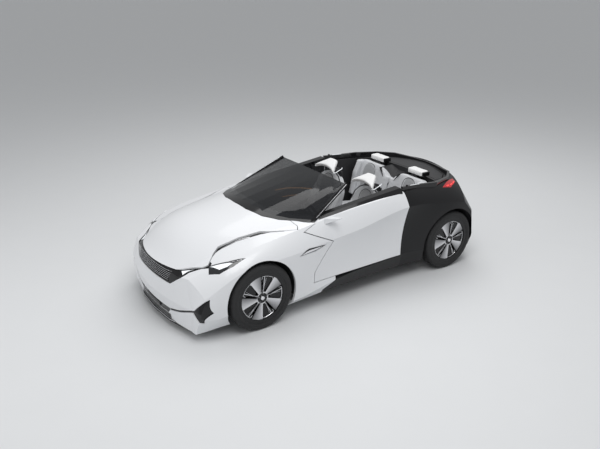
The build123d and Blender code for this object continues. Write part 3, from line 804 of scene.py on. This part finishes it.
class CAR_OT_lamps(bpy.types.Operator):
    """Fills the head and tail lamps and lights their strips"""

    bl_idname = "car.lamps"
    bl_label = "Lamps"

    LENS = [(1.566, 0.662), (1.44, 0.737), (1.395, 0.768), (1.452, 0.766), (1.52, 0.742)]
    BROW = [(1.570, 0.655), (1.43, 0.741), (1.31, 0.787)]
    INNER = [
        (0.452, 0.624), (0.492, 0.604), (0.505, 0.630),
        (0.546, 0.656), (0.524, 0.645), (0.484, 0.634),
    ]
    CLAWS = (
        [(-1.385, 0.715), (-1.34, 0.725)],
        [(-1.46, 0.695), (-1.41, 0.712)],
        [(-1.52, 0.66), (-1.475, 0.69)],
    )

    def execute(self, context):
        head = surface("headlamp_left")
        lens = inlay(head, self.LENS, "top", 0.0015, 0.003)
        pair("lamp_lens", lens, "lamp_white", "lamp_clear")
        brow = strip(head, self.BROW, "top", (0.008, 0.003), 0.002)
        pair("lamp_brow", brow, "bright_metal", "blade_silver")
        inner = inlay(surface("grille"), self.INNER, "front", 0.002, 0.003, 2)
        pair("inner_lamp", inner, "lamp_white", "lamp_clear")
        for i, line in enumerate(self.CLAWS):
            claw = strip(surface("tail_lamp_left"), line, "top", 0.016, 0.003)
            pair(f"tail_claw_{i}", claw, "tail_glow", "tail_red")
        return {"FINISHED"}


class CAR_OT_nose(bpy.types.Operator):
    """Adds the grille's bars, the chin, the blank plate and the splitter's bright line"""

    bl_idname = "car.nose"
    bl_label = "Nose"

    CHIN = [(-0.335, 0.101), (0.335, 0.101), (0.335, 0.149), (-0.335, 0.149)]
    PLATE_SIZE, PLATE_HEIGHT = (0.30, 0.044), 0.188
    SPLITTER = [(y, 0.088) for y in (0.0, 0.15, 0.3, 0.42, 0.53)]
    BARS = 6
    LOWEST_BAR, BAR_STEP = 0.5155, 0.018
    SHORTEST_BAR, BAR_GROWTH = 0.335, 0.008

    def execute(self, context):
        chin = inlay(surface("front_clip"), self.CHIN, "front", 0.0015, 0.003)
        piece("chin_panel", *chin, "plate_black", "body", "gloss_black")
        edge = [(y, self.PLATE_HEIGHT + z) for y, z in rounded(*self.PLATE_SIZE, 0.006, 3)]
        plate = inlay(surface("lower_grille"), edge, "front", 0.010, 0.012, 2)
        piece("blank_plate", *plate, "plate_black", "body", "dark_trim")
        line = strip(surface("front_splitter"), self.SPLITTER, "front", 0.006, 0.002, 0.001)
        pair("splitter_line", line, "bright_metal", "blade_silver")
        bars = []
        for i in range(self.BARS):
            z = self.LOWEST_BAR + self.BAR_STEP * i
            half = self.SHORTEST_BAR + self.BAR_GROWTH * i
            line = [(-half, z), (0, z), (half, z)]
            bars.append(strip(surface("grille"), line, "front", 0.0028, 0.0022))
        piece("grille_bars", *joined(bars), "bright_metal", "body", "blade_silver")
        return {"FINISHED"}


class CAR_OT_sides(bpy.types.Operator):
    """Adds the fender leaves, vent blades, rail details and pillar lines"""

    bl_idname = "car.sides"
    bl_label = "Sides"

    LEAF = [
        (0.712, 0.656), (0.640, 0.697), (0.605, 0.708),
        (0.475, 0.700), (0.405, 0.697), (0.520, 0.661),
    ]
    BLADE = [(0.700, 0.661), (0.640, 0.684), (0.600, 0.692), (0.440, 0.694), (0.520, 0.672)]
    FIN = [(1.40, 0.548), (1.30, 0.552), (1.20, 0.552), (1.10, 0.572)]
    RAIL = [(-0.815, 0.698), (-0.88, 0.694), (-0.95, 0.694)]
    KNOB_PLACE = (-0.765, 0.699)
    KNOB = ((0.0, -0.004), (0.0125, -0.004), (0.0125, 0.010), (0.0105, 0.013), (0.0, 0.014))
    PILLAR = Vector((0.437, 0.708, 0.932)), Vector((-0.028, 0.601, 1.175))
    PILLAR_OUT = Vector((0, 0.86, 0.5)).normalized() * 0.0055

    def execute(self, context):
        clip, rail = surface("front_clip"), surface("deck_rim")
        floor = inlay(clip, self.LEAF, "side", 0.0012, 0.002)
        pair("leaf_floor", floor, "gloss_black", "gloss_black")
        blade = inlay(clip, self.BLADE, "side", 0.0045, 0.003)
        pair("leaf_blade", blade, "bright_metal", "blade_silver")
        fin = strip(surface("bonnet_vent_left"), self.FIN, "top", (0.004, 0.009), 0.004)
        pair("vent_blade", fin, "bright_metal", "blade_silver")
        band = strip(rail, self.RAIL, "top", 0.007, 0.003)
        pair("rail_strip", band, "lamp_white", "lamp_clear")
        hit, normal = laid(rail, self.KNOB_PLACE, "top")
        verts, faces = lathe(self.KNOB, (0, 0, 0), 1, 32, False)
        turn = Vector((0, 1, 0)).rotation_difference(normal)
        knob = [hit + turn @ Vector(v) for v in verts], faces
        pair("rail_knob", knob, "gloss_black", "gloss_black")
        low, high = self.PILLAR
        start, end = low.lerp(high, 0.03), low.lerp(high, 0.98)
        bar = tube([start.lerp(end, k / 8) + self.PILLAR_OUT for k in range(9)], 0.0025, 6)
        pair("pillar_line", bar, "bright_metal", "blade_silver")
        return {"FINISHED"}


class CAR_OT_front_seats(bpy.types.Operator):
    """Makes the two front seats and their floating headrests"""

    bl_idname = "car.front_seats"
    bl_label = "Front seats"

    CUSHION = [(0.155, -0.07), (0.17, 0.05), (0.12, 0.085), (-0.38, 0.035), (-0.43, -0.07)]
    BACK = [(0.235, -0.30), (0.245, -0.05), (0.24, 0.09), (0.21, 0.19), (0.15, 0.255), (0.08, 0.29)]
    BACK_TOP = 0.30
    CUSHION_HEIGHT = 0.345
    BACK_PLACE = (-0.501, 0.683)
    WING_OUT = 0.205
    HEADREST_PLACE = (-0.505, 1.070)
    WING = [(0.0, -0.29), (0.09, -0.28), (0.11, -0.16), (0.085, 0.0), (0.03, 0.12), (0.0, 0.14)]
    HEADREST = [
        (0.185, 0.075), (0.12, 0.062), (0.0, 0.052), (-0.12, 0.062),
        (-0.185, 0.075), (-0.063, -0.085), (0.063, -0.085),
    ]
    DROOP = 0.9
    # (forward, sideways from the seat's middle, up)
    ARM = ((-0.60, 0.11, 0.90), (-0.592, 0.115, 0.97), (-0.56, 0.12, 1.025), (-0.50, 0.12, 1.045))
    BAR = (
        (-0.434, 0.172, 1.012), (-0.47, 0.172, 1.006),
        (-0.57, 0.160, 1.034), (-0.578, 0.158, 1.046),
    )

    def execute(self, context):
        for side, sign in SIDES:
            y = sign * SEAT_MIDDLE
            self.seat(side, y)
            self.headrest(side, y)
        return {"FINISHED"}

    def seat(self, side, y):
        x, z = self.BACK_PLACE
        place = tilted((0, y, self.CUSHION_HEIGHT), (1, 0, 0), (0, 0, 1))
        soft(f"seat_cushion_{side}", self.CUSHION, place, 0.46, nodes=[f"seat_{side}"])
        lean = tilted((x, y, z), (0, 1, 0), FRONT_RAKE)
        back = [(-a, b) for a, b in self.BACK] + [(0, self.BACK_TOP)] + self.BACK[::-1]
        soft(f"seat_back_{side}", back, lean, 0.095)
        oval_insert(f"seat_back_{side}", lean, 0.08, 0.052)
        for across in (-self.WING_OUT, self.WING_OUT):
            edge = tilted((x, y + across, z), (0.965, 0, 0.262), FRONT_RAKE)
            name = "inner" if across * y < 0 else "outer"
            soft(f"seat_wing_{name}_{side}", self.WING, edge, 0.075, voxel=0.009, rounds=7)
        rim = [tuple(lean @ Vector((a * 1.01, b * 1.01, 0.035))) for a, b in back[2:-2]]
        piece(f"seat_piping_{side}", *tube(spaced(rim), 0.0055), "piping", "body", "dark_trim")
        base = box_form((-0.36, y - 0.16, 0.192), (0.10, y + 0.16, 0.275), 0.012)
        piece(f"seat_base_{side}", *base, "dark_trim", "body", "dark_trim")

    def headrest(self, side, y):
        """A floating wing of a headrest on two dark arms, with a bright bar along each end."""
        x, z = self.HEADREST_PLACE
        place = tilted((x, y, z), (0, -1, 0), (0.928, 0, -0.371))

        def droop(point):
            return point - Vector((0, 0, self.DROOP * (point.y - y) ** 2))

        soft(
            f"headrest_pad_{side}", self.HEADREST, place, 0.036, "headrest_white",
            [f"headrest_{side}"], 0.007, 4, 0.003, droop,
        )
        arms = []
        for sign in (-1, 1):
            arm = [(a, y + b * sign, c) for a, b, c in self.ARM]
            arms.append(tube(spaced(arm), 0.013))
            bar = [(a, y + b * sign, c) for a, b, c in self.BAR]
            name = "inner" if sign * y < 0 else "outer"
            shape = tube(bar, 0.0045)
            piece(f"headrest_bar_{name}_{side}", *shape, "lamp_white", "body", "lamp_clear")
        arms.append(box_form((-0.615, y - 0.13, 0.925), (-0.578, y + 0.13, 0.985), 0.01))
        piece(f"headrest_bracket_{side}", *joined(arms), "dark_trim", "body", "dark_trim")


class CAR_OT_rear_seats(bpy.types.Operator):
    """Makes the two rear seats and their headrests"""

    bl_idname = "car.rear_seats"
    bl_label = "Rear seats"

    CUSHION = [(0.13, -0.10), (0.14, 0.02), (0.11, 0.04), (-0.14, 0.0), (-0.15, -0.10)]
    BACK = [
        (0.004, -0.235), (0.004, 0.165), (0.05, 0.172), (0.155, 0.252),
        (0.19, 0.27), (0.51, 0.27), (0.56, 0.235), (0.572, -0.235),
    ]
    INSERT_MIDDLE = 0.345
    CUSHION_PLACE = (-0.878, 0.45)
    BACK_PLACE = (-1.135, 0.71)
    WING_OUT = 0.535
    HEADREST_PLACE = (-1.272, 1.018)
    HEADREST_SHIFT = 0.012
    HEADREST_HALF = 0.118
    WING = [(0.0, -0.2), (0.11, -0.19), (0.13, 0.08), (0.10, 0.24), (0.0, 0.26)]

    def execute(self, context):
        for side, sign in SIDES:
            self.seat(side, sign)
            self.headrest(side, sign)
        return {"FINISHED"}

    def seat(self, side, sign):
        x, z = self.CUSHION_PLACE
        place = tilted((x, REAR_SEAT_MIDDLE * sign, z), (1, 0, 0), (0, 0, 1))
        nodes = ["rear_bench"] if sign > 0 else []
        soft(f"rear_cushion_{side}", self.CUSHION, place, 0.50, nodes=nodes)
        x, z = self.BACK_PLACE
        lean = tilted((x, 0, z), (0, sign, 0), REAR_RAKE)
        soft(f"rear_back_{side}", self.BACK, lean, 0.10)
        centre = lean @ Matrix.Translation((self.INSERT_MIDDLE, 0, 0))
        oval_insert(f"rear_back_{side}", centre, 0.065, 0.054 * sign)
        edge = tilted((x, self.WING_OUT * sign, z), (0.963, 0, 0.27), REAR_RAKE)
        soft(f"rear_wing_{side}", self.WING, edge, 0.07, voxel=0.009, rounds=7)

    def headrest(self, side, sign):
        y = REAR_SEAT_MIDDLE * sign
        across = y + self.HEADREST_SHIFT * sign
        x, z = self.HEADREST_PLACE
        pad = tilted((x, across, z), (0, 1, 0), (1, 0, 0))
        soft(
            f"rear_headrest_pad_{side}", rounded(0.235, 0.112, 0.022), pad, 0.05, "headrest_white",
            [f"rear_headrest_{side}"], 0.006, 4, 0.003,
        )
        out = across + self.HEADREST_HALF
        end = box_form((-1.322, out, 0.994), (-1.222, out + 0.024, 1.042), 0.008)
        stem = box_form((-1.262, y - 0.05, 0.955), (-1.225, y + 0.05, 0.996), 0.008)
        shape = joined([end, stem])
        piece(f"rear_headrest_end_{side}", *shape, "gloss_black", "body", "gloss_black")


class CAR_OT_cabin(bpy.types.Operator):
    """Adds the doors' glowing lines and the dashboard's pods, vents and line"""

    bl_idname = "car.cabin"
    bl_label = "Cabin"

    # (forward, up) of the two lines on each door trim
    GLOW = (
        ((0.06, 0.772), (-0.10, 0.768), (-0.28, 0.735), (-0.46, 0.69)),
        ((0.02, 0.672), (-0.10, 0.668), (-0.24, 0.655)),
    )
    GLOW_OUT = 0.6265

    def execute(self, context):
        for side, sign in SIDES:
            bars = []
            for line in self.GLOW:
                points = [(x, self.GLOW_OUT * sign, z) for x, z in line]
                bars.append(tube(spaced(points, 0.04), 0.0035, 6))
            shape = joined(bars)
            piece(f"door_glow_{side}", *shape, "ambient_orange", f"door_{side}", "lamp_clear")
        pod = box_form((0.40, 0.20, 0.90), (0.469, 0.49, 0.985), 0.02)
        piece("instrument_pod", *pod, "gloss_black", "body", "gloss_black")
        screen = box_form((0.452, -0.16, 0.86), (0.469, 0.16, 0.955), 0.006)
        piece("centre_screen", *screen, "gloss_black", "body", "gloss_black")
        line = tube([(0.4665, y, 0.838) for y in (-0.56, -0.3, 0.0, 0.3, 0.56)], 0.003, 6)
        piece("dash_line", *line, "ambient_orange", "body", "lamp_clear")
        vents = []
        for y in (-0.45, -0.12, 0.12):
            vents.append(box_form((0.458, y - 0.07, 0.775), (0.4695, y + 0.07, 0.808)))
        piece("dash_vents", *joined(vents), "gloss_black", "body", "gloss_black")
        return {"FINISHED"}


class CAR_OT_stage(bpy.types.Operator):
    """Sets up the floor, the light and the camera"""

    bl_idname = "car.stage"
    bl_label = "Stage"

    def execute(self, context):
        scene = context.scene
        scene.view_settings.view_transform = "Standard"
        self.floor(scene)
        world = bpy.data.worlds.new("studio")
        scene.world = world
        world.use_nodes = True
        sky = world.node_tree.nodes["Background"]
        sky.inputs["Color"].default_value = (*colours().floor, 1)
        sky.inputs["Strength"].default_value = WORLD_STRENGTH
        for name, place, size, power in LIGHTS:
            self.light(scene, name, place, size, power)
        self.camera(scene)
        return {"FINISHED"}

    def floor(self, scene):
        Finish("floor_grey", tuple(colours().floor), 0.7).speckle(3, 0.01)
        reach = FLOOR_REACH
        corners = [(-reach, -reach, 0), (reach, -reach, 0), (reach, reach, 0), (-reach, reach, 0)]
        mesh = bpy.data.meshes.new("studio_floor")
        mesh.from_pydata(corners, [], [(0, 1, 2, 3)])
        mesh.materials.append(FINISHES["floor_grey"])
        ground = bpy.data.objects.new("studio_floor", mesh)
        scene.collection.objects.link(ground)

    def light(self, scene, name, place, size, power):
        light = bpy.data.lights.new(name, "AREA")
        light.energy, light.size = power, size
        lamp = bpy.data.objects.new(name, light)
        lamp.location = place
        lamp.rotation_mode = "QUATERNION"
        aim = Vector(place) - Vector((0, 0, 0.4))
        lamp.rotation_quaternion = aim.to_track_quat("Z", "Y")
        scene.collection.objects.link(lamp)

    def camera(self, scene):
        camera = bpy.data.objects.new("camera", bpy.data.cameras.new("camera"))
        camera.data.sensor_width = 36
        camera.data.lens = CAMERA_LENS
        camera.location = CAMERA_PLACE
        yaw, pitch, roll = (math.radians(v) for v in CAMERA_AIM)
        flat = math.cos(pitch)
        look = Vector((flat * math.cos(yaw), flat * math.sin(yaw), math.sin(pitch)))
        camera.rotation_mode = "QUATERNION"
        camera.rotation_quaternion = Quaternion(look, roll) @ look.to_track_quat("-Z", "Y")
        scene.collection.objects.link(camera)
        scene.camera = camera


def colour(name, description, default):
    return FloatVectorProperty(
        name=name, description=description, default=default, subtype="COLOR",
    )


def length(name, description, default):
    return FloatProperty(name=name, description=description, default=default, unit="LENGTH")


class CarColours(bpy.types.PropertyGroup):
    """Colours that a user would change"""

    body_white: colour("Body white", "Front and doors", (0.78, 0.79, 0.81))
    body_black: colour("Body black", "Rear quarters", (0.007, 0.007, 0.008))
    seat_grey: colour("Seat grey", "Seat cloth", (0.62, 0.63, 0.65))
    tail_red: colour("Tail red", "Tail lamp lens", (0.50, 0.008, 0.014))
    floor: colour("Floor", "Studio floor and backdrop", (0.72, 0.73, 0.74))


class CarSizes(bpy.types.PropertyGroup):
    """Sizes that a user would change"""

    tyre_radius: length("Tyre radius", "Radius over the tread", 0.3348)
    groove_width: length("Groove width", "Width of each tread groove", 0.009)
    groove_depth: length("Groove depth", "Depth of each tread groove", 0.007)
    tyre_segments: IntProperty(
        name="Tyre segments", description="Steps round a tyre", default=240,
    )


class CAR_PT_panel(bpy.types.Panel):
    """Lists the car's pieces"""

    bl_label = "Concept car"
    bl_idname = "CAR_PT_panel"
    bl_space_type = "VIEW_3D"
    bl_region_type = "UI"
    bl_category = "Car"

    def draw(self, context):
        for group in (context.scene.car_sizes, context.scene.car_colours):
            for key in group.__annotations__:
                self.layout.prop(group, key)
        for step in STEPS:
            self.layout.operator(step.bl_idname)


STEPS = (
    CAR_OT_finishes, CAR_OT_tyres, CAR_OT_wheels, CAR_OT_lamps, CAR_OT_nose, CAR_OT_sides,
    CAR_OT_front_seats, CAR_OT_rear_seats, CAR_OT_cabin, CAR_OT_stage,
)
CLASSES = (CarColours, CarSizes, *STEPS, CAR_PT_panel)


def register():
    for entry in CLASSES:
        bpy.utils.register_class(entry)
    bpy.types.Scene.car_colours = PointerProperty(type=CarColours)
    bpy.types.Scene.car_sizes = PointerProperty(type=CarSizes)


def unregister():
    del bpy.types.Scene.car_colours
    del bpy.types.Scene.car_sizes
    for entry in reversed(CLASSES):
        bpy.utils.unregister_class(entry)


def main():
    register()
    for step in STEPS:
        group, name = step.bl_idname.split(".")
        getattr(getattr(bpy.ops, group), name)()


if __name__ == "__main__":
    main()
